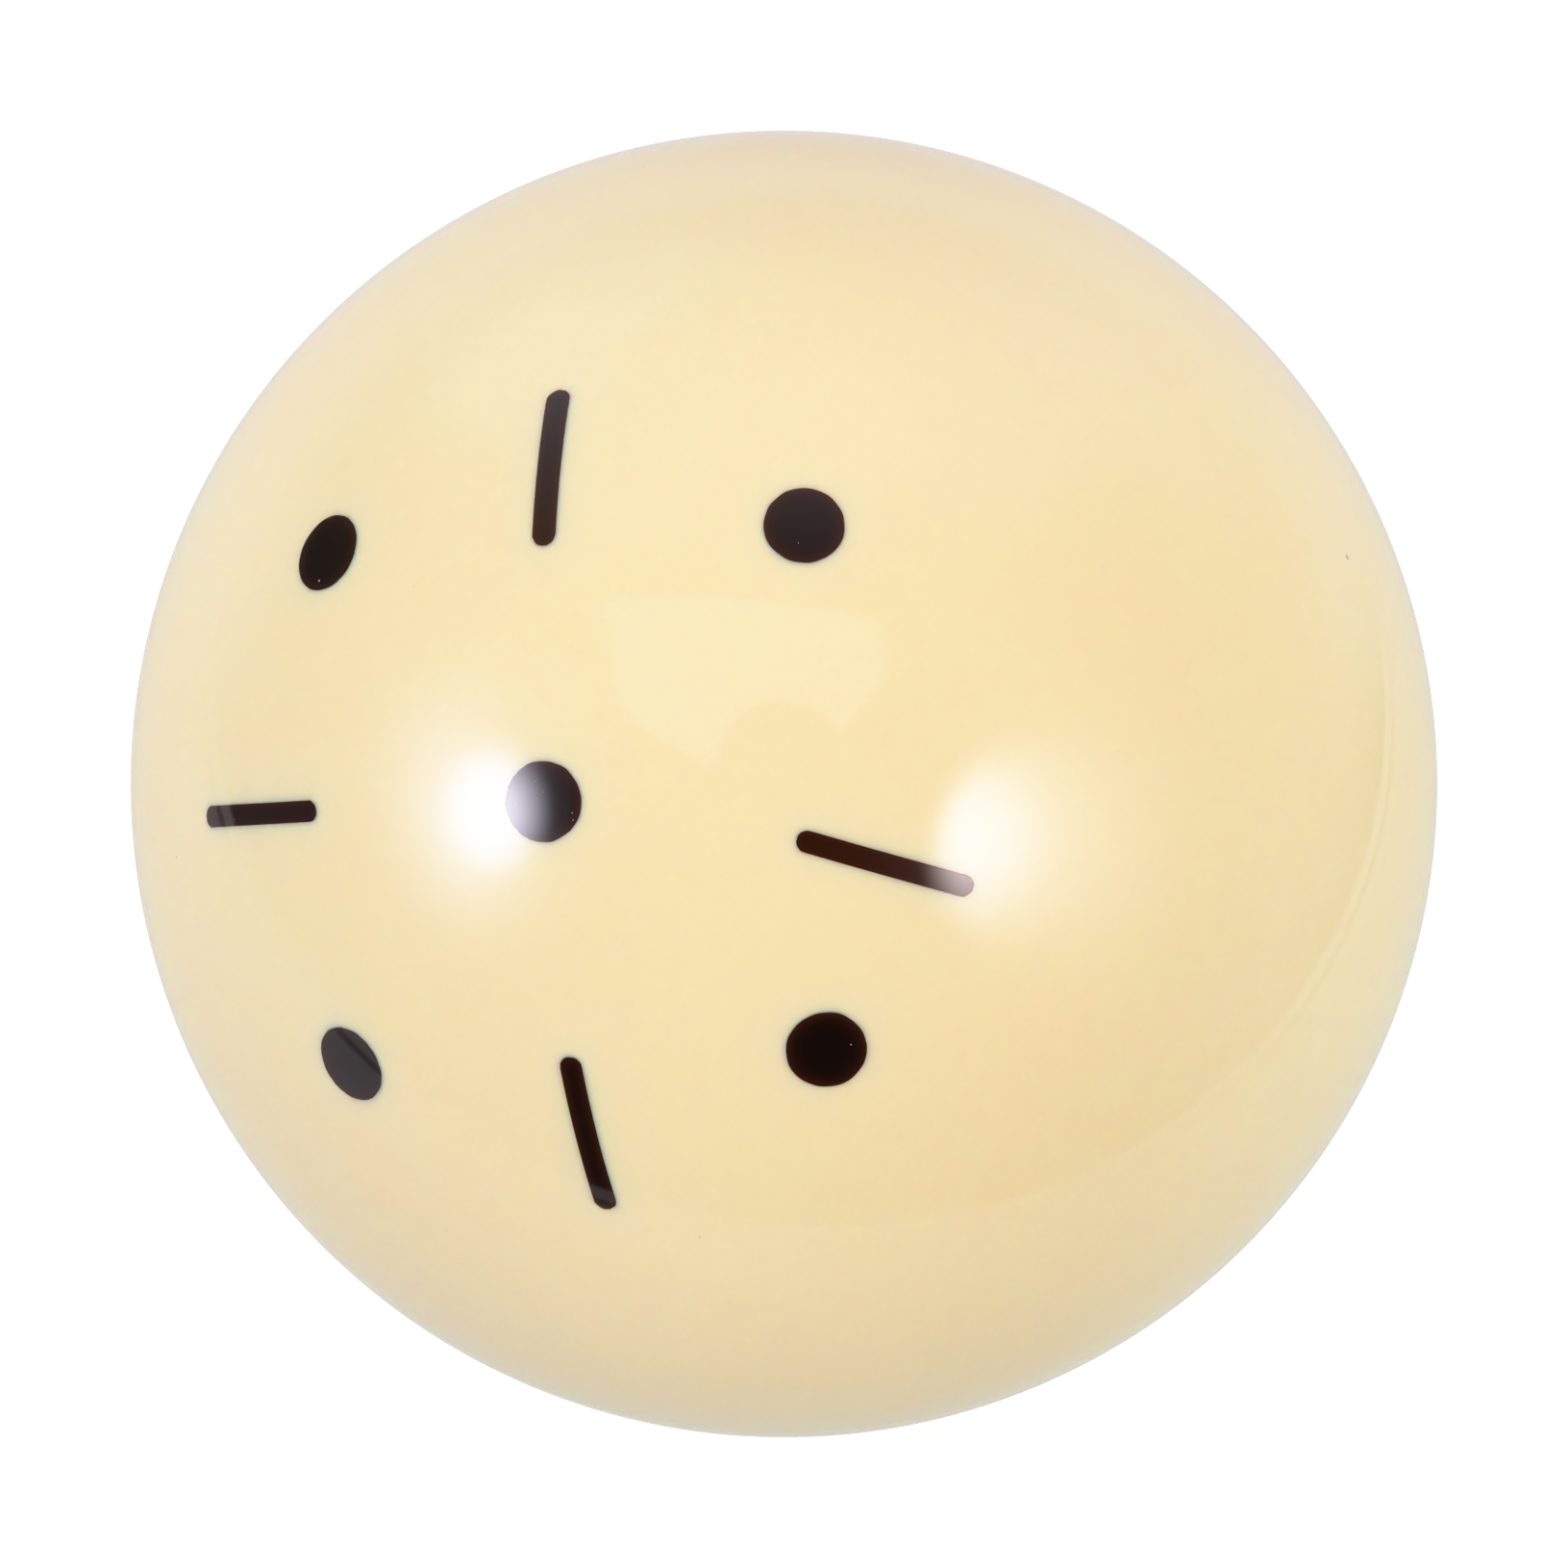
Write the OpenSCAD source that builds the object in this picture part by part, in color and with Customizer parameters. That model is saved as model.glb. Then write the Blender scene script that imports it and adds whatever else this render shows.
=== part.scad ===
// Training cue ball: a cast resin ball with two target faces, one at each end of its Y axis.
// A face is a middle dot, four bars that point at it and four outer dots between them.
// Every mark is a peg of dark resin that fills a pocket and is ground flush with the ball.
// The ball's centre is the origin, the front face looks along -Y, and its top bar is towards +Z.

/* [Ball] */
// Diameter of the ball
ball_d = 57.15; // [52.4:0.05:61.5]

/* [Dots] */
// Diameter of a dot
dot_d = 3.45; // [2.45:0.1:4.45]
// Depth of a dot's pocket
dot_depth = 2.4; // [1:0.1:4]
// Angle at the ball's centre between the middle dot and an outer dot
dot_ring = 33; // [28:0.5:38]

/* [Bars] */
// Width of a bar, which is the cutter that made its slot
bar_w = 0.95; // [0.7:0.05:1.5]
// Length of a bar over its round ends
bar_l = 7.8; // [5:0.1:9]
// Depth of a bar's slot
bar_depth = 1.4; // [0.8:0.1:2.4]
// Angle at the ball's centre between the middle dot and a bar's middle
bar_ring = 30; // [26:0.5:34]

/* [Setting out] */
// How much of the front face's uneven setting out is built: 0 is an evenly spaced face
uneven = 1; // [0:0.1:1]

/* [Hidden] */
$fn = 180;
ball_r = ball_d / 2;
// How far a cutter starts above the surface
overrun = 1;

// The marks of a face: name, kind, angle out from the middle dot, and clock angle seen from outside.
// A last list says how the front one strays: outwards, clockwise and turned, in degrees, and then
// longer and wider, in millimetres. The back face is even.
MARKS = [
    ["centre_dot",      "dot", 0,        0,   [0,    0,    0,    0,     0]],
    ["top_bar",         "bar", bar_ring, 0,   [0,    -1.8, -0.8, -0.15, 0.1]],
    ["upper_right_dot", "dot", dot_ring, 45,  [-0.2, -1.1, 0,    0,     0]],
    ["right_bar",       "bar", bar_ring, 90,  [0.1,  13.6, 7.3,  0.1,   0]],
    ["lower_right_dot", "dot", dot_ring, 135, [-0.5, 1.5,  0,    0,     0]],
    ["bottom_bar",      "bar", bar_ring, 180, [0.2,  1.3,  0.3,  -0.1,  0.05]],
    ["lower_left_dot",  "dot", dot_ring, 225, [0.4,  1.2,  0,    0,     0]],
    ["left_bar",        "bar", bar_ring, 270, [1.5,  0,    -0.2, 0.2,   0]],
    ["upper_left_dot",  "dot", dot_ring, 315, [0.5,  -0.5, 0,    0,     0]],
];

// The faces: name, turn about Z from the front, and how much of the uneven setting out each has.
FACES = [["front", 0, uneven], ["back", 180, 0]];

// The outline of a mark, flat: straight sides along Y and round ends, or a circle where length is width.
module outline(length, width) {
    run = length - width;
    if (run > 0)
        square([width, run], center = true);
    for (end = run > 0 ? [-1, 1] : [0])
        translate([0, end * run / 2])
            circle(d = width);
}

// A solid at the top of the ball, straight down from above the surface to depth below it.
module cutter(length, width, depth) {
    translate([0, 0, ball_r - depth])
        linear_extrude(depth + overrun)
            outline(length, width);
}

// The cutter of one mark, turned to its place on its face.
module mark_cutter(face, mark) {
    stray = mark[4] * face[2];
    is_dot = mark[1] == "dot";
    rotate([90 - mark[2] - stray[0], mark[3] + stray[1], face[1]])
        rotate(-stray[2])
            cutter(
                (is_dot ? dot_d : bar_l) + stray[3],
                (is_dot ? dot_d : bar_w) + stray[4],
                is_dot ? dot_depth : bar_depth
            );
}

// The ball, with a pocket for every mark.
module ball_body() {
    color("#f9e4b4")
        difference() {
            sphere(d = ball_d);
            for (face = FACES)
                for (mark = MARKS)
                    mark_cutter(face, mark);
        }
}

// The peg that fills one mark's pocket, with its outer end on the ball's own surface.
module peg(face, mark) {
    color("#1a0d0b")
        intersection() {
            sphere(d = ball_d);
            mark_cutter(face, mark);
        }
}

ball_body();
for (face = FACES)
    for (mark = MARKS)
        peg(face, mark);
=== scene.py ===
"""Looks of a practice cue ball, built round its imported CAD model.

The ball and its eighteen dark pegs are meshed again from the CAD nodes, in metres and in the CAD's
own frame: a finely triangulated sphere with a pocket for each peg, and the pegs that fill them
flush. The front target face looks along -Y and its top bar is towards +Z.
"""

import math
import random

import bmesh
import bpy
import numpy as np
from mathutils import Matrix, Vector
from mathutils.geometry import delaunay_2d_cdt


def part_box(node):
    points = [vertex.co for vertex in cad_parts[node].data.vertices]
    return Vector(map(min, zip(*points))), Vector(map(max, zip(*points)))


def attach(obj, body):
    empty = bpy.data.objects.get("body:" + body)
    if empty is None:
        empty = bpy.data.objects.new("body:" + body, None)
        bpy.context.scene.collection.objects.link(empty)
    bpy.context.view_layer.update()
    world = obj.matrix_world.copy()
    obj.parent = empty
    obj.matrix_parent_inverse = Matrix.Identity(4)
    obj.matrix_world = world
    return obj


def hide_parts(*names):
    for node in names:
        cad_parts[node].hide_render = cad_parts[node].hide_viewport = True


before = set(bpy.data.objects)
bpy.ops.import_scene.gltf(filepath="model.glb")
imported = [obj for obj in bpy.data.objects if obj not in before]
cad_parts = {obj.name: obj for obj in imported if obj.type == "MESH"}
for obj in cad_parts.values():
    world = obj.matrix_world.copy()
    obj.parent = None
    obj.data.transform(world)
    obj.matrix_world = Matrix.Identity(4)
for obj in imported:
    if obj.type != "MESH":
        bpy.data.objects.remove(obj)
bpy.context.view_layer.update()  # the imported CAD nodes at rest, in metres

MM = 0.001
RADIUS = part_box("ball_body")[1].z
BODY = "root"

# Reading the marks from the CAD nodes
SKIN_SHARE = 0.9997  # a point this far out, as a share of RADIUS, is on the ball's surface
FIT_ROUNDS = 4

# Meshing of the ball
GRID_CUTS = 7  # 1 is the plain icosahedron, and each one more halves the length of its edges
CAP_ANGLE = math.radians(47)  # the part round each target face that is meshed to fit its marks
RIM_STEP = 0.11 * MM  # distance between points along a mark's edge
RING_GAPS = [g * MM for g in (0.07, 0.16, 0.28, 0.44, 0.66, 0.96, 1.36)]  # rings outside a mark
INNER_GAPS = [g * MM for g in (0.06, 0.14, 0.25, 0.4)]  # rings inside a mark
CLEAR = 1.65 * MM  # the plain grid starts this far from a mark
WALL_STEPS = 4
PEG_TAPER = 0.02 * MM  # a peg is this much slimmer at its foot than its pocket
PEG_BEVEL = 0.12 * MM  # the bevel round a peg's foot
WOBBLE = 0.0352 * MM  # the most that a hand-finished edge can stray from its true outline
BAR_TRIM = 0.035 * MM  # a bar's edge is drawn in by this, as the dark line round it widens its look

# Camera, as the photograph was taken
CAMERA_AZIMUTH = math.radians(21.0)
CAMERA_ELEVATION = math.radians(0.5)
CAMERA_ROLL = math.radians(2.9)
CAMERA_RADII = 30  # distance from the ball's centre, in ball radii
BALL_SHARE = 0.8338  # the ball's share of the picture's width
SENSOR = 36.0

# The camera's response: true up to SHOULDER, then bending to reach full white where the light is WHITE
SHOULDER = 0.6
WHITE = 2.0
BEND = 3.5

# Resins: colours are linear, and a fourth number is alpha
CREAM = (0.957, 0.763, 0.422)
DIRT = (0.52, 0.43, 0.27, 1.0)
SMUDGE = (0.86, 0.68, 0.37, 1.0)
# Painted shade: a dull line right round each mark, standing in for light that the cream resin loses into
# the dark peg.
RIM_SHADE_TINT, RIM_SHADE_REACH = (0.92, 0.89, 0.74, 1.0), 0.12  # the dull line right round a mark, reach in mm
# Painted shade: a bluer zone outside each mark, standing in for the red light that the cream resin loses
# into the dark peg.
PAINTED_HALO_TINT, PAINTED_HALO_REACH = (1.0, 1.0, 1.08, 1.0), 1.0  # the paler zone outside it
DARK = (0.006, 0.002, 0.0016, 1.0)
BROWN = (0.019, 0.005, 0.0018, 1.0)
# Painted light: the browner edge of each peg, for the cream resin's light that comes through it.
EDGE_LIGHT_BROWN = (0.040, 0.010, 0.003, 1.0)
DUST = (0.38, 0.33, 0.29, 1.0)
THINNESS = {"top_bar": 0.2, "left_bar": 0.1, "right_bar": 1.0}  # how brown a mark is, from 0 to 1
SCATTER = 1.5 * MM  # how far red light spreads inside the cream resin
POLISH = 0.05  # roughness of both resins
SPECULAR = 0.46  # Specular IOR Level of both resins

TABLE_GLOW = 1.3  # the light that comes up through the table
TABLE_REACH = 14 * RADIUS

FACES = {"front": Vector((0, -1, 0)), "back": Vector((0, 1, 0))}
MARK_NAMES = [
    "centre_dot", "top_bar", "upper_right_dot", "right_bar", "lower_right_dot",
    "bottom_bar", "lower_left_dot", "left_bar", "upper_left_dot",
]


# ---------------------------------------------------------------- marks, read from the CAD nodes


class Mark:
    """One dark peg: where it sits on the ball, and its flat outline, as its CAD node has them."""

    def __init__(self, name, seed):
        self.name = name
        co = np.array([v.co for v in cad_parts[name].data.vertices], float)
        skin = co[np.linalg.norm(co, axis=1) > RADIUS * SKIN_SHARE]
        out = skin.mean(axis=0)
        for _ in range(FIT_ROUNDS):
            out /= np.linalg.norm(out)
            flat = skin - np.outer(skin @ out, out)
            values, axes = np.linalg.eigh(flat.T @ flat)
            along, across = axes[:, 2], axes[:, 1]
            ends, sides = skin @ along, skin @ across
            out = out * RADIUS + along * (ends.max() + ends.min()) / 2
            out += across * (sides.max() + sides.min()) / 2
        out /= np.linalg.norm(out)
        along = along - out * (along @ out)
        self.out = out
        self.along = along / np.linalg.norm(along)
        self.across = np.cross(self.out, self.along)
        half_length = np.ptp(skin @ self.along) / 2
        self.half_width = np.ptp(skin @ self.across) / 2
        if half_length > 2 * self.half_width:
            self.half_width -= BAR_TRIM
        run = half_length - self.half_width
        self.half_run = run if run > 0.05 * self.half_width else 0.0
        self.floor = (co @ self.out).min()
        draw = random.Random(seed)
        self.waves = [(k, draw.uniform(0, math.tau), draw.uniform(0.3, 1.0)) for k in (3, 5, 8, 11, 14)]

    def stray(self, x, y):
        """How far the finished edge lies outside the true outline, in the direction of (x, y)."""
        turn = np.arctan2(x, y)
        total = sum(size * np.cos(k * turn + start) for k, start, size in self.waves)
        return WOBBLE * total / len(self.waves)

    def gap(self, points):
        """Distance of points on the ball from this mark's edge: negative inside it."""
        x, y = points @ self.across, points @ self.along
        near = np.clip(y, -self.half_run, self.half_run)
        gap = np.hypot(x, y - near) - self.half_width - self.stray(x, y - near)
        return np.where(points @ self.out > 0, gap, RADIUS)

    def ring(self, gap, step):
        """Flat points (x, y) of the line that runs at a distance of gap outside the mark's edge."""
        radius = self.half_width + gap
        straight, arc = 2 * self.half_run, math.pi * radius
        count = max(8, round((2 * straight + 2 * arc) / step))
        points = []
        for i in range(count):
            s = (straight + arc) * 2 * i / count
            side, s = (1, s) if s < straight + arc else (-1, s - straight - arc)
            if s < straight:
                x, y, cx, cy = radius, -self.half_run + s, 1.0, 0.0
            else:
                turn = (s - straight) / radius
                cx, cy = math.cos(turn), math.sin(turn)
                x, y = radius * cx, self.half_run + radius * cy
            x, y, cx, cy = side * x, side * y, side * cx, side * cy
            stray = float(self.stray(x, y - np.clip(y, -self.half_run, self.half_run)))
            points.append((x + cx * stray, y + cy * stray))
        return points

    def on_ball(self, x, y):
        """The point of the ball's surface over the flat point (x, y)."""
        height = math.sqrt(RADIUS**2 - x * x - y * y)
        return self.across * x + self.along * y + self.out * height

    def at_height(self, x, y, height):
        return self.across * x + self.along * y + self.out * height


marks = {
    face: [Mark(f"{face}_{name}", seed=31 * i + len(face)) for i, name in enumerate(MARK_NAMES)]
    for face in FACES
}
all_marks = [mark for face in FACES for mark in marks[face]]


# ---------------------------------------------------------------- meshes


def icosphere_points():
    """Points and triangles of an even grid over the whole ball."""
    grid = bmesh.new()
    bmesh.ops.create_icosphere(grid, subdivisions=GRID_CUTS, radius=RADIUS)
    points = np.array([v.co for v in grid.verts], float)
    points *= RADIUS / np.linalg.norm(points, axis=1)[:, None]
    triangles = np.array([[v.index for v in f.verts] for f in grid.faces])
    grid.free()
    return points, triangles


def flatten(points, pole):
    """Stereographic plan of points on the ball, seen from outside over the pole."""
    side = np.cross([0.0, 0.0, 1.0], pole)
    up = np.cross(pole, side)
    height = points @ pole
    scale = 2 * RADIUS / (RADIUS + height)
    return np.stack([(points @ side) * scale, (points @ up) * scale], axis=1)


def flood(triangles, fences, start):
    """The triangles that can be reached from one of them without crossing a fence edge."""
    by_edge = {}
    for i, tri in enumerate(triangles):
        for a, b in zip(tri, tri[1:] + tri[:1]):
            by_edge.setdefault((min(a, b), max(a, b)), []).append(i)
    seen, queue = {start}, [start]
    while queue:
        tri = triangles[queue.pop()]
        for a, b in zip(tri, tri[1:] + tri[:1]):
            edge = (min(a, b), max(a, b))
            if edge in fences:
                continue
            for j in by_edge[edge]:
                if j not in seen:
                    seen.add(j)
                    queue.append(j)
    return seen


def mesh_cap(face, grid_points, loop, inner):
    """Triangulates the ball's surface round one target face, inside a loop of grid points.

    Returns the points, the triangles of the plain resin, and each mark's rim and own triangles."""
    pole = np.array(FACES[face], float)
    points = [grid_points[i] for i in loop]
    fences = {tuple(sorted((i, (i + 1) % len(loop)))) for i in range(len(loop))}
    rims = []
    for mark in marks[face]:
        rim = mark.ring(0.0, RIM_STEP)
        first = len(points)
        points += [mark.on_ball(x, y) for x, y in rim]
        ids = list(range(first, first + len(rim)))
        rims.append(ids)
        fences |= {tuple(sorted(pair)) for pair in zip(ids, ids[1:] + ids[:1])}
        for gap in RING_GAPS:
            points += [mark.on_ball(x, y) for x, y in mark.ring(gap, max(RIM_STEP, 0.75 * gap))]
        for gap in INNER_GAPS:
            if gap < mark.half_width * 0.8:
                points += [mark.on_ball(x, y) for x, y in mark.ring(-gap, max(RIM_STEP, 0.75 * gap))]
    kept = grid_points[inner]
    gaps = np.min([mark.gap(kept) for mark in marks[face]], axis=0)
    deep = np.max([-mark.gap(kept) for mark in marks[face]], axis=0)
    points += list(kept[(gaps > CLEAR) | (deep > INNER_GAPS[-1] * 1.5)])
    points = np.array(points)
    plan = flatten(points, pole) / RADIUS
    result = delaunay_2d_cdt([Vector(p) for p in plan], [list(e) for e in fences], [], 0, 1e-7)
    if len(result[0]) != len(points):
        raise ValueError(f"the {face} cap's plan gained or lost points: {len(points)} to {len(result[0])}")
    old = [ids[0] for ids in result[3]]
    triangles = [[old[i] for i in tri] for tri in result[2]]
    centre = plan[np.array(triangles)].mean(axis=1)

    def nearest(place):
        return int(np.argmin(((centre - place) ** 2).sum(axis=1)))

    rim_fences = set()
    for ids in rims:
        rim_fences |= {tuple(sorted(pair)) for pair in zip(ids, ids[1:] + ids[:1])}
    mark_triangles = []
    for mark, ids in zip(marks[face], rims):
        start = nearest(flatten(mark.on_ball(0, 0)[None, :], pole)[0] / RADIUS)
        mark_triangles.append([triangles[i] for i in flood(triangles, rim_fences, start)])
    probe = marks[face][0]
    beside = probe.on_ball(probe.half_width + CLEAR, 0)
    start = nearest(flatten(beside[None, :], pole)[0] / RADIUS)
    plain = [triangles[i] for i in flood(triangles, fences, start)]
    return points, plain, rims, mark_triangles


def facing_out(points, triangles):
    """The triangles, each turned so that it looks away from the ball's centre."""
    t = np.array(triangles)
    a, b, c = points[t[:, 0]], points[t[:, 1]], points[t[:, 2]]
    inward = np.einsum("ij,ij->i", np.cross(b - a, c - a), a + b + c) < 0
    t[inward] = t[inward][:, ::-1]
    return t.tolist()


class Solid:
    """Collects the points and faces of one piece, with the normal that each face's corners show."""

    def __init__(self):
        self.points = []
        self.faces = []
        self.normals = []

    def add_points(self, points):
        first = len(self.points)
        self.points += [tuple(p) for p in points]
        return list(range(first, len(self.points)))

    def add_face(self, ids, normals=None):
        """normals are one for each corner, or None where the corner's own place on the ball gives it."""
        self.faces.append(list(ids))
        if normals is None:
            normals = [np.array(self.points[i]) / RADIUS for i in ids]
        self.normals += [tuple(n) for n in normals]

    def add_well(self, mark, rim, taper, foot, inside_out):
        """The wall and floor under a mark's rim: a pocket's if inside_out, or else a peg's.

        The rim runs clockwise seen from outside, so these faces are wound the other way round from the
        outer skin's. The normals that they are given are the true ones."""
        rim_points = [np.array(self.points[i]) for i in rim]
        xy = [(p @ mark.across, p @ mark.along, p @ mark.out) for p in rim_points]
        sign = -1.0 if inside_out else 1.0
        centre_line = [max(-mark.half_run, min(mark.half_run, y)) for _, y, _ in xy]
        away = [Vector((x, y - c)).normalized() for (x, y, _), c in zip(xy, centre_line)]
        wall = [sign * (mark.across * d.x + mark.along * d.y) for d in away]
        above = rim
        for step in range(1, WALL_STEPS + 1):
            share = step / WALL_STEPS
            ring = []
            for (x, y, top), d in zip(xy, away):
                height = top + (mark.floor + foot - top) * share
                ring.append(mark.at_height(x - d.x * taper * share, y - d.y * taper * share, height))
            below = self.add_points(ring)
            self.join(above, below, wall, inside_out)
            above = below
        if foot > 0:
            ring = [
                mark.at_height(x - d.x * (taper + foot), y - d.y * (taper + foot), mark.floor)
                for (x, y, _), d in zip(xy, away)
            ]
            below = self.add_points(ring)
            slant = [(n - mark.out) / math.sqrt(2) for n in wall]
            self.join(above, below, slant, inside_out)
            above = below
        floor = above if inside_out else above[::-1]
        self.add_face(floor, [-sign * mark.out] * len(floor))

    def join(self, above, below, normals, inside_out):
        """A belt of four-sided faces between two rings, which run clockwise seen from outside."""
        count = len(above)
        for i in range(count):
            j = (i + 1) % count
            ids = [above[i], below[i], below[j], above[j]]
            shades = [normals[i], normals[i], normals[j], normals[j]]
            if inside_out:
                ids, shades = ids[::-1], shades[::-1]
            self.add_face(ids, shades)

    def build(self, name, node, slot, material, values):
        """Makes the Blender object, riding on the CAD body in place of its CAD node."""
        mesh = bpy.data.meshes.new(name)
        mesh.from_pydata(self.points, [], self.faces)
        mesh.polygons.foreach_set("use_smooth", [True] * len(self.faces))
        mesh.set_sharp_from_angle(angle=math.radians(30))
        mesh.normals_split_custom_set(self.normals)
        for label, numbers in values.items():
            layer = mesh.attributes.new(label, "FLOAT", "POINT")
            layer.data.foreach_set("value", np.asarray(numbers, np.float32))
        mesh.materials.append(material)
        piece = bpy.data.objects.new(name, mesh)
        bpy.context.scene.collection.objects.link(piece)
        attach(piece, BODY)
        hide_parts(node)
        return piece


def clockwise(points, rim, mark):
    """The rim's ids in clockwise order as seen from outside the ball."""
    p = np.array([points[i] for i in rim])
    x, y = p @ mark.across, p @ mark.along
    area = np.sum(x * np.roll(y, -1) - y * np.roll(x, -1))
    return rim if area > 0 else rim[::-1]


def make_pieces(ball_material, mark_material):
    grid_points, grid_triangles = icosphere_points()
    ball = Solid()
    ball_ids = {}

    def ball_id(i):
        if i not in ball_ids:
            ball_ids[i] = ball.add_points([grid_points[i]])[0]
        return ball_ids[i]

    in_cap = np.zeros(len(grid_triangles), bool)
    for face, pole in FACES.items():
        close = grid_points @ np.array(pole, float) > RADIUS * math.cos(CAP_ANGLE)
        cap = close[grid_triangles].all(axis=1)
        in_cap |= cap
    for tri in grid_triangles[~in_cap]:
        ball.add_face([ball_id(i) for i in tri])

    for face, pole in FACES.items():
        close = grid_points @ np.array(pole, float) > RADIUS * math.cos(CAP_ANGLE)
        cap = grid_triangles[close[grid_triangles].all(axis=1)]
        follow = {}
        edges = {(a, b) for tri in cap for a, b in zip(tri, np.roll(tri, -1))}
        for a, b in edges:
            if (b, a) not in edges:
                follow[a] = b
        loop = [next(iter(follow))]
        while follow[loop[-1]] != loop[0]:
            loop.append(follow[loop[-1]])
        on_loop = set(loop)
        inner = sorted(set(cap.ravel().tolist()) - on_loop)
        points, plain, rims, mark_triangles = mesh_cap(face, grid_points, loop, inner)
        here = {i: ball_id(g) for i, g in enumerate(loop)}
        for tri in facing_out(points, plain):
            for i in tri:
                if i not in here:
                    here[i] = ball.add_points([points[i]])[0]
            ball.add_face([here[i] for i in tri])
        for mark, rim, own in zip(marks[face], rims, mark_triangles):
            rim = clockwise(points, rim, mark)
            ball.add_well(mark, [here[i] for i in rim], taper=0.0, foot=0.0, inside_out=True)
            peg, peg_ids = Solid(), {}
            for tri in facing_out(points, own):
                for i in tri:
                    if i not in peg_ids:
                        peg_ids[i] = peg.add_points([points[i]])[0]
                peg.add_face([peg_ids[i] for i in tri])
            peg.add_well(mark, [peg_ids[i] for i in rim], PEG_TAPER, PEG_BEVEL, inside_out=False)
            depth = -mark.gap(np.array(peg.points)) / MM
            thin = [THINNESS.get(mark.name.split("_", 1)[1], 0.0)] * len(peg.points)
            values = {"depth_in": depth, "thinness": thin}
            peg.build(mark.name + "_peg", mark.name, "mark_resin", mark_material, values)

    gaps = np.min([mark.gap(np.array(ball.points)) for mark in all_marks], axis=0) / MM
    ball.build("ball_resin_body", "ball_body", "ball_resin", ball_material, {"gap": np.clip(gaps, 0, 5)})


# ---------------------------------------------------------------- shader helpers


def add_node(tree, kind, inputs=(), **settings):
    """A node with its settings, and its inputs set to numbers or joined to other nodes' outputs."""
    node = tree.nodes.new(kind)
    for key, value in settings.items():
        setattr(node, key, value)
    for key, value in dict(inputs).items():
        if isinstance(value, bpy.types.NodeSocket):
            tree.links.new(value, node.inputs[key])
        else:
            node.inputs[key].default_value = value
    return node


def sums(tree, operation, *values):
    return add_node(tree, "ShaderNodeMath", enumerate(values), operation=operation).outputs[0]


def ramp(tree, value, low, high, to_low=0.0, to_high=1.0, smooth=True):
    """value taken from between low and high to between to_low and to_high, and held outside them."""
    return add_node(
        tree, "ShaderNodeMapRange", {0: value, 1: low, 2: high, 3: to_low, 4: to_high},
        interpolation_type="SMOOTHSTEP" if smooth else "LINEAR",
    ).outputs[0]


def blend(tree, factor, a, b, kind="MIX"):
    """The colour a where factor is 0, and b where it is 1, or a times b with kind MULTIPLY."""
    colours = {"Factor": factor, "A": a, "B": b}
    return add_node(tree, "ShaderNodeMix", colours, data_type="RGBA", blend_type=kind).outputs["Result"]


def new_material(name):
    material = bpy.data.materials.new(name)
    material.use_nodes = True
    tree = material.node_tree
    tree.nodes.clear()
    shader = tree.nodes.new("ShaderNodeBsdfPrincipled")
    output = tree.nodes.new("ShaderNodeOutputMaterial")
    tree.links.new(shader.outputs[0], output.inputs["Surface"])
    return material, tree, shader


def millimetres(tree):
    """The place on the piece, in millimetres from the ball's centre."""
    place = add_node(tree, "ShaderNodeTexCoord").outputs["Object"]
    in_mm = {0: place, "Scale": 1 / MM}
    return add_node(tree, "ShaderNodeVectorMath", in_mm, operation="SCALE").outputs[0]


def specks(tree, place, cell, size, share):
    """A mask of sparse round specks: one to a cell of that size, and a share of those shown."""
    cells = add_node(tree, "ShaderNodeTexVoronoi", {"Vector": place, "Scale": 1 / cell, "Randomness": 1.0})
    shown = add_node(tree, "ShaderNodeSeparateColor", {0: cells.outputs["Color"]})
    picked = sums(tree, "LESS_THAN", shown.outputs[0], share)
    reach = sums(tree, "MULTIPLY", shown.outputs[1], size / cell)
    edge = sums(tree, "SUBTRACT", reach, cells.outputs["Distance"])
    soft = ramp(tree, edge, 0.0, 0.3 * size / cell)
    return sums(tree, "MULTIPLY", picked, soft)


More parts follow.
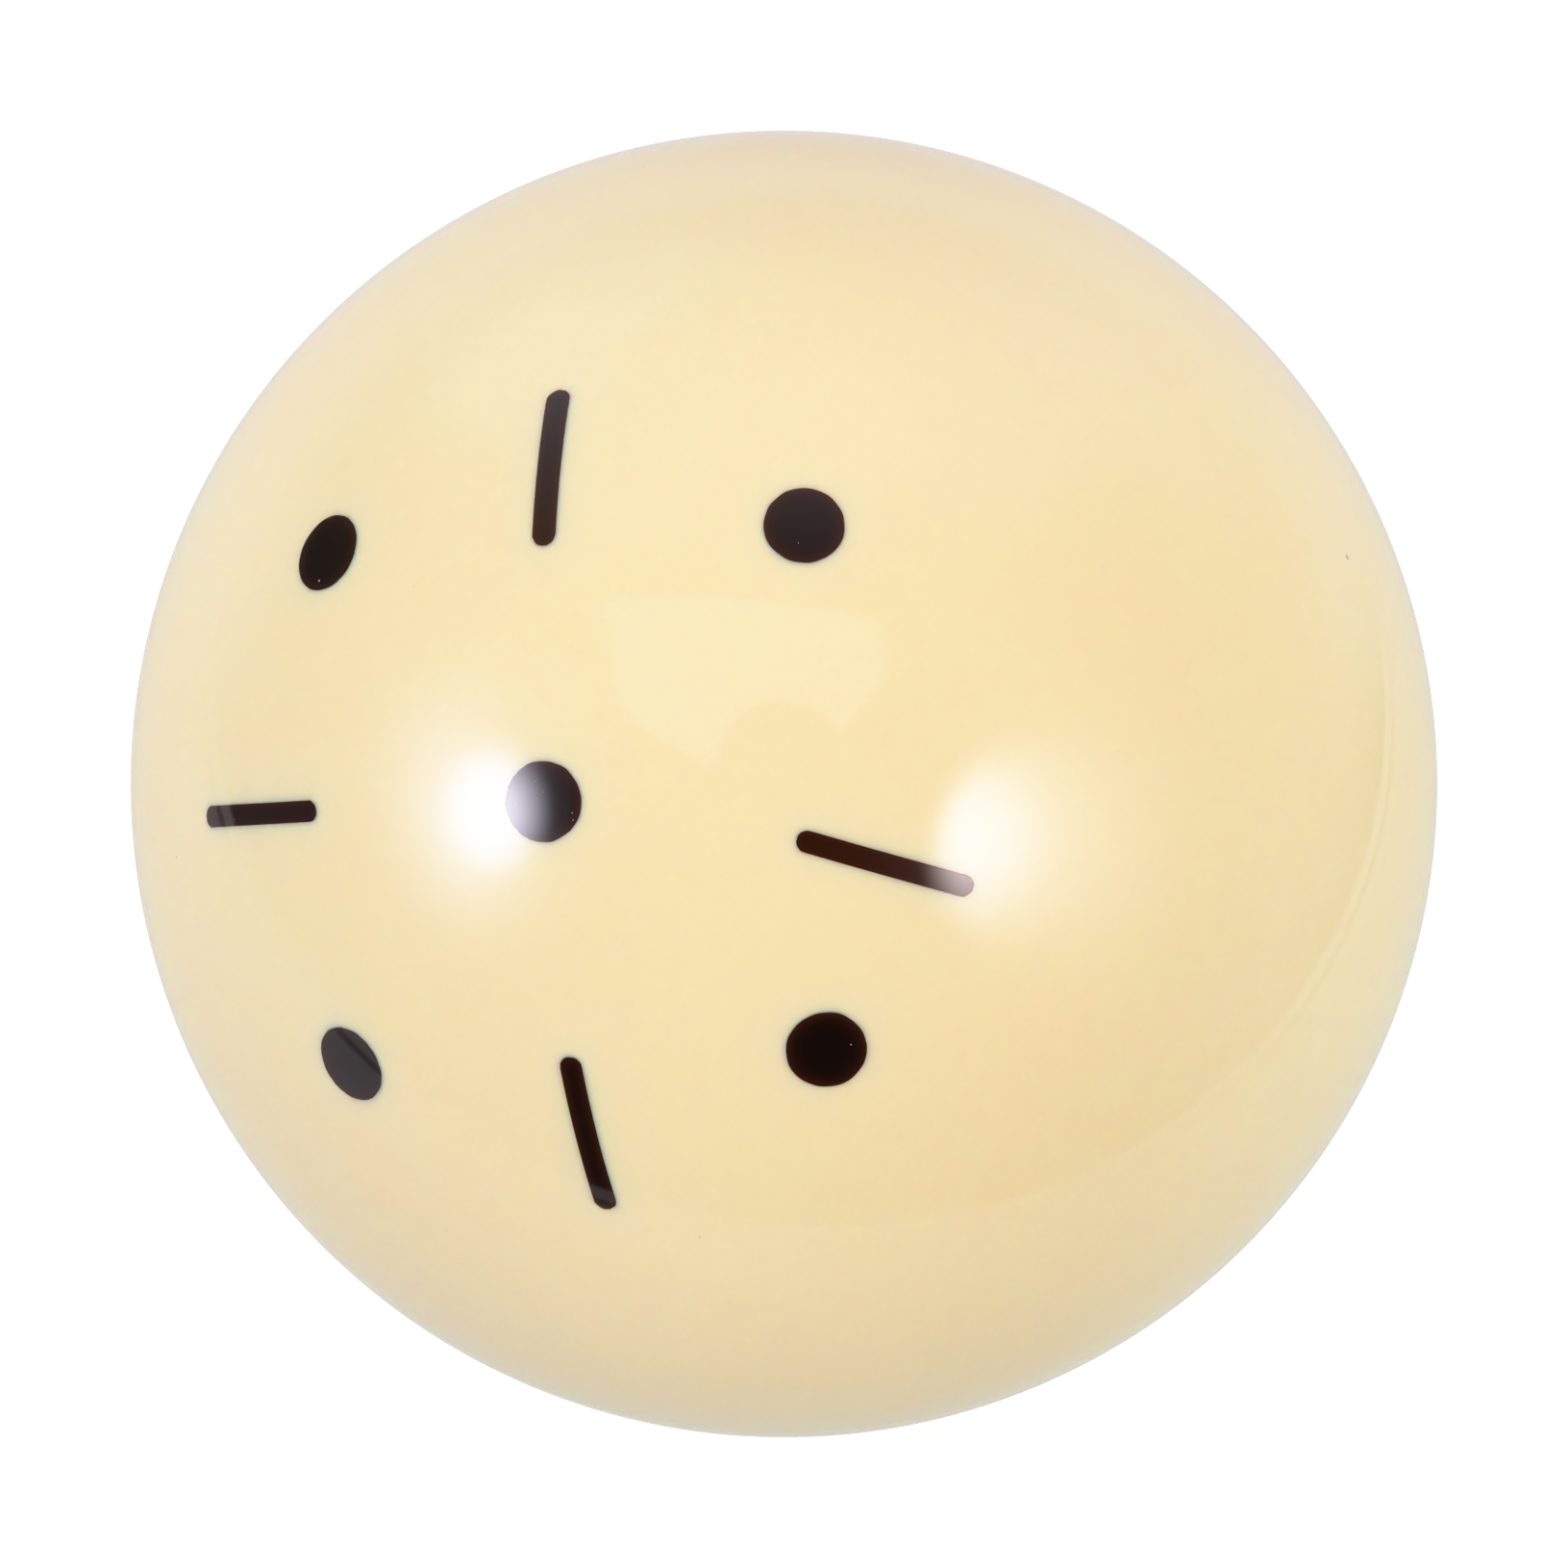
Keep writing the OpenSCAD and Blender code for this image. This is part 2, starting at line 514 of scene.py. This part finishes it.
def make_ball_material():
    """Cream cast resin, polished: slightly cloudy, with a few tiny inclusions, and painted shade round
    each mark: a dull line at its edge and a bluer halo outside it, for light lost into the dark peg."""
    material, tree, shader = new_material("cream_cast_resin")
    place = millimetres(tree)
    cloudy = {"Vector": place, "Scale": 0.07, "Detail": 3.0, "Distortion": 0.6}
    cloud = add_node(tree, "ShaderNodeTexNoise", cloudy)
    grain = add_node(tree, "ShaderNodeTexNoise", {"Vector": place, "Scale": 0.9, "Detail": 2.0})
    tone = sums(
        tree, "ADD",
        ramp(tree, cloud.outputs[0], 0.3, 0.7, 0.988, 1.008),
        ramp(tree, grain.outputs[0], 0.3, 0.7, -0.004, 0.004),
    )
    colour = add_node(
        tree, "ShaderNodeVectorMath", {0: CREAM, "Scale": tone}, operation="SCALE"
    ).outputs[0]
    for cell, size, share, tint in ((1.6, 0.17, 0.035, DIRT), (6.0, 0.55, 0.12, SMUDGE)):
        spots = specks(tree, place, cell, size, share)
        colour = blend(tree, spots, colour, tint)
    gap = add_node(tree, "ShaderNodeAttribute", attribute_name="gap").outputs["Fac"]
    # Painted shade round each mark: the dull line at its edge, and the bluer halo outside it, for light
    # lost into the dark peg.
    for reach, tint in ((RIM_SHADE_REACH, RIM_SHADE_TINT), (PAINTED_HALO_REACH, PAINTED_HALO_TINT)):
        near = sums(tree, "EXPONENT", sums(tree, "MULTIPLY", gap, -1 / reach))
        colour = blend(tree, near, colour, tint, "MULTIPLY")
    tree.links.new(colour, shader.inputs["Base Color"])
    shader.inputs["Subsurface Weight"].default_value = 1.0
    shader.inputs["Subsurface Radius"].default_value = (1.0, 0.55, 0.2)
    shader.inputs["Subsurface Scale"].default_value = SCATTER
    shader.inputs["Roughness"].default_value = POLISH
    shader.inputs["IOR"].default_value = 1.5
    shader.inputs["Specular IOR Level"].default_value = SPECULAR
    return material


def make_mark_material():
    """Brown-black resin, polished with the ball; painted light makes it browner near its edge, where light
    comes through.
    """
    material, tree, shader = new_material("dark_cast_resin")
    place = millimetres(tree)
    depth = add_node(tree, "ShaderNodeAttribute", attribute_name="depth_in").outputs["Fac"]
    # Painted light: browner towards a peg's edge, for the cream resin's light that comes through it.
    rim = sums(tree, "EXPONENT", sums(tree, "MULTIPLY", depth, -1 / 0.20))
    thin = add_node(tree, "ShaderNodeAttribute", attribute_name="thinness").outputs["Fac"]
    body = blend(tree, thin, DARK, BROWN)
    colour = blend(tree, rim, body, EDGE_LIGHT_BROWN)
    for cell, size, share in ((0.55, 0.06, 0.09), (0.32, 0.035, 0.12)):
        dust = specks(tree, place, cell, size, share)
        colour = blend(tree, dust, colour, DUST)
    tree.links.new(colour, shader.inputs["Base Color"])
    shader.inputs["Roughness"].default_value = POLISH
    shader.inputs["IOR"].default_value = 1.5
    shader.inputs["Specular IOR Level"].default_value = SPECULAR
    return material


# ---------------------------------------------------------------- camera, light and floor


def camera_axes():
    """Unit vectors from the ball towards the camera, to the picture's right and to its top."""
    towards = Vector((
        math.sin(CAMERA_AZIMUTH) * math.cos(CAMERA_ELEVATION),
        -math.cos(CAMERA_AZIMUTH) * math.cos(CAMERA_ELEVATION),
        math.sin(CAMERA_ELEVATION),
    ))
    level = Vector((math.cos(CAMERA_AZIMUTH), math.sin(CAMERA_AZIMUTH), 0))
    upright = towards.cross(level)
    right = math.cos(CAMERA_ROLL) * level - math.sin(CAMERA_ROLL) * upright
    return towards, right, towards.cross(right)


def make_camera():
    towards, right, top = camera_axes()
    data = bpy.data.cameras.new("camera")
    data.sensor_width = SENSOR
    data.lens = SENSOR * BALL_SHARE / 2 * math.sqrt(CAMERA_RADII**2 - 1)
    data.clip_start, data.clip_end = 0.05, 20.0
    camera = bpy.data.objects.new("camera", data)
    bpy.context.scene.collection.objects.link(camera)
    turn = Matrix((right, top, towards)).transposed().to_4x4()
    camera.matrix_world = Matrix.Translation(towards * RADIUS * CAMERA_RADII) @ turn
    bpy.context.scene.camera = camera


def studio_direction(off_axis, turn):
    """The way to something in the studio: off_axis degrees away from the camera as the ball sees
    it, and turn degrees anticlockwise from the picture's right."""
    towards, right, top = camera_axes()
    a, t = math.radians(off_axis), math.radians(turn)
    return towards * math.cos(a) + (right * math.cos(t) + top * math.sin(t)) * math.sin(a)


class Studio:
    """The light round the ball, as one world shader: each call adds something that shines."""

    def __init__(self):
        world = bpy.data.worlds.new("studio")
        world.use_nodes = True
        bpy.context.scene.world = world
        self.tree = world.node_tree
        self.tree.nodes.clear()
        way = add_node(self.tree, "ShaderNodeTexCoord").outputs["Generated"]
        self.way = add_node(self.tree, "ShaderNodeVectorMath", {0: way}, operation="NORMALIZE").outputs[0]
        self.total = None

    def towards(self, direction):
        """How far each way points along direction, as the cosine of the angle between them."""
        return add_node(
            self.tree, "ShaderNodeVectorMath", {0: self.way, 1: tuple(direction)}, operation="DOT_PRODUCT"
        ).outputs["Value"]

    def angle(self, direction):
        return sums(self.tree, "ARCCOSINE", sums(self.tree, "MINIMUM", self.towards(direction), 0.999999))

    def shine(self, colour, mask):
        light = add_node(
            self.tree, "ShaderNodeVectorMath", {0: tuple(colour), "Scale": mask}, operation="SCALE"
        ).outputs[0]
        if self.total is not None:
            light = add_node(
                self.tree, "ShaderNodeVectorMath", {0: self.total, 1: light}, operation="ADD"
            ).outputs[0]
        self.total = light

    def disc(self, direction, full, end):
        """A round light: full within one angle of its middle, gone at another, in degrees."""
        return ramp(self.tree, self.angle(direction), math.radians(end), math.radians(full))

    def lobe(self, direction, sharpness):
        """A light that fades evenly from its middle."""
        away = sums(self.tree, "SUBTRACT", self.towards(direction), 1.0)
        return sums(self.tree, "EXPONENT", sums(self.tree, "MULTIPLY", away, sharpness))

    def side(self, direction, low, high):
        """Everything on one side: from nothing where the cosine is low to all where it is high."""
        return ramp(self.tree, self.towards(direction), low, high)

    def edge(self, a, b, soft):
        """Everything left of the line from a to b, as the ball reflects them to the camera; the edge
        is soft over that many degrees. Both are (off_axis, turn), as in studio_direction."""
        inner = studio_direction(*a).cross(studio_direction(*b)).normalized()
        return self.side(inner, 0.0, math.sin(math.radians(soft)))

    def panel(self, corners, soft):
        """A flat panel with straight edges, its corners anticlockwise as the ball reflects them."""
        mask = 1.0
        for a, b in zip(corners, corners[1:] + corners[:1]):
            mask = self.both(mask, self.edge(a, b, soft))
        return mask

    def both(self, a, b):
        """Where both masks are."""
        return sums(self.tree, "MULTIPLY", a, b)

    def finish(self):
        """The camera sees plain white; everything else sees the lights."""
        lights = add_node(self.tree, "ShaderNodeBackground", {"Color": self.total})
        white = add_node(self.tree, "ShaderNodeBackground", {"Color": (1, 1, 1, 1), "Strength": WHITE})
        seen = add_node(self.tree, "ShaderNodeLightPath").outputs["Is Camera Ray"]
        choice = {0: seen, 1: lights.outputs[0], 2: white.outputs[0]}
        mix = add_node(self.tree, "ShaderNodeMixShader", choice)
        add_node(self.tree, "ShaderNodeOutputWorld", {"Surface": mix.outputs[0]})


def make_studio():
    studio = Studio()
    towards, right, top = camera_axes()
    # A dim room, brighter overhead and behind the ball.
    studio.shine((0.03, 0.125, 0.08), studio.lobe(-towards, 1))
    studio.shine((0.09, 0.41, 0.69), studio.side(top, 0.45, 1.0))
    # The white backdrop, and the white sheet that the ball stands on, with a fold along its edge.
    upper = studio.side(top, 0.0, 0.3)
    backdrop = studio.side((-0.95 * towards - 0.30 * top - 0.05 * right).normalized(), 0.15, 0.50)
    studio.shine((0.79, 0.665, 0.76), studio.both(backdrop, upper))
    sheet = (-0.83 * towards - 0.55 * top - 0.10 * right).normalized()
    lower = studio.both(studio.side(sheet, 0.450, 0.462), sums(studio.tree, "SUBTRACT", 1.0, upper))
    fold = sums(studio.tree, "ABSOLUTE", sums(studio.tree, "SUBTRACT", studio.towards(sheet), 0.503))
    dimmer = ramp(studio.tree, fold, 0.005, 0.015, 0.35, 1.0)
    studio.shine((0.70, 0.615, 0.63), studio.both(lower, dimmer))
    # The cool strobe on the left, with the glow of its diffuser.
    cool, warm = Vector((1.0, 0.97, 1.165)), Vector((1.0, 0.817, 0.822))
    studio.shine(21.5 * cool, studio.disc(studio_direction(52.3, 184.9), 0.4, 12.2))
    studio.shine(6.27 * cool, studio.lobe(studio_direction(57.2, 190.5), 59))
    studio.shine(4.2 * cool, studio.lobe(studio_direction(60.2, 177.7), 40))
    # The warm strobe on the right: its lamp stands to one side inside a round diffuser.
    diffuser = studio.disc(studio_direction(45.8, -13.7), 12.75, 21.4)
    studio.shine(19.3 * warm, studio.both(studio.lobe(studio_direction(32.8, -16.75), 43), diffuser))
    studio.shine(3.61 * warm, studio.lobe(studio_direction(50.9, -11.8), 21))
    # Soft boxes high behind the ball on both sides and above it.
    studio.shine((0.89, 0.76, 0.45), studio.lobe(studio_direction(100, 122), 25))
    studio.shine((0.86, 0.89, 0.905), studio.lobe(studio_direction(104, 52), 12))
    studio.shine((1.11, 0.46, 0.02), studio.lobe(studio_direction(76, 88), 8))
    # Two sheets of cool diffuser beside them, each with one straight edge.
    left_edge = studio.edge((117, 133.3), (65.4, 136.8), 3)
    right_edge = studio.edge((40.5, 46.4), (133, 38.7), 3)
    studio.shine((0.35, 0.30, 0.50), studio.both(studio.lobe(studio_direction(100, 118), 14), left_edge))
    studio.shine((0.16, 0.32, 0.55), studio.both(studio.lobe(studio_direction(72, 60), 8), right_edge))
    # Light from the pale room: right, left, upper left and upper right.
    studio.shine((0.14, 0.55, 0.65), studio.lobe(studio_direction(95, -20), 6))
    studio.shine((0.12, 0.11, 0.18), studio.lobe(studio_direction(95, 190), 6))
    studio.shine((0.51, 0.28, 0.12), studio.lobe(studio_direction(60, 140), 8))
    studio.shine((0.38, 0.0, 0.03), studio.lobe(studio_direction(55, 40), 8))
    # The lit wall behind the camera, with the camera's own outline missing from its foot.
    wall = studio.panel([(46, 135), (31, 157), (14.5, 169), (12.5, 40), (26.5, 45), (33.5, 59)], 0.6)
    camera = studio.disc(studio_direction(4, 97), 10.4, 11.0)
    studio.shine((1.7, 1.5, 1.5), studio.both(wall, sums(studio.tree, "SUBTRACT", 1.0, camera)))
    studio.finish()


def make_floor():
    """A plain white table under the ball, lit from beneath as a product photographer's is."""
    sides = 96
    rings = [0.5 * RADIUS, 1.5 * RADIUS, 4 * RADIUS, TABLE_REACH]
    mesh = bpy.data.meshes.new("floor")
    points = [(0.0, 0.0, -RADIUS)]
    for r in rings:
        turns = [math.tau * i / sides for i in range(sides)]
        points += [(r * math.cos(turn), r * math.sin(turn), -RADIUS) for turn in turns]
    faces = [(0, 1 + i, 1 + (i + 1) % sides) for i in range(sides)]
    for k in range(len(rings) - 1):
        a, b = 1 + k * sides, 1 + (k + 1) * sides
        faces += [(a + i, b + i, b + (i + 1) % sides, a + (i + 1) % sides) for i in range(sides)]
    mesh.from_pydata(points, [], faces)
    material = bpy.data.materials.new("pale_table")
    material.use_nodes = True
    tree = material.node_tree
    tree.nodes.clear()
    paint = add_node(tree, "ShaderNodeBsdfDiffuse", {"Color": (0.9, 0.9, 0.9, 1.0)})
    glow = add_node(tree, "ShaderNodeEmission", {"Color": (1, 1, 1, 1), "Strength": TABLE_GLOW})
    lit = add_node(tree, "ShaderNodeAddShader", {0: paint.outputs[0], 1: glow.outputs[0]})
    clear = add_node(tree, "ShaderNodeBsdfTransparent")
    under = add_node(tree, "ShaderNodeNewGeometry").outputs["Backfacing"]
    either = add_node(tree, "ShaderNodeMixShader", {0: under, 1: lit.outputs[0], 2: clear.outputs[0]})
    add_node(tree, "ShaderNodeOutputMaterial", {"Surface": either.outputs[0]})
    mesh.materials.append(material)
    floor = bpy.data.objects.new("floor", mesh)
    bpy.context.scene.collection.objects.link(floor)
    for ray in ("diffuse", "glossy", "transmission", "volume_scatter", "shadow"):
        setattr(floor, "visible_" + ray, False)


def make_tone():
    """The camera's response: true up to the shoulder, and then rolling off to white."""
    view = bpy.context.scene.view_settings
    view.view_transform = "Standard"
    view.use_curve_mapping = True
    tone = view.curve_mapping
    tone.white_level = (WHITE, WHITE, WHITE)
    tone.extend = "HORIZONTAL"
    curve = tone.curves[3]
    steps = 7
    for i in range(steps + 1):
        light = SHOULDER + (WHITE - SHOULDER) * i / steps
        shown = SHOULDER + (1 - SHOULDER) * (1 - (1 - i / steps) ** BEND)
        if i < steps:
            curve.points.new(light / WHITE, shown)
        else:
            curve.points[-1].location = (1, shown)
    curve.points[0].handle_type = "VECTOR"
    tone.update()


make_camera()
make_pieces(make_ball_material(), make_mark_material())
make_studio()
make_floor()
make_tone()
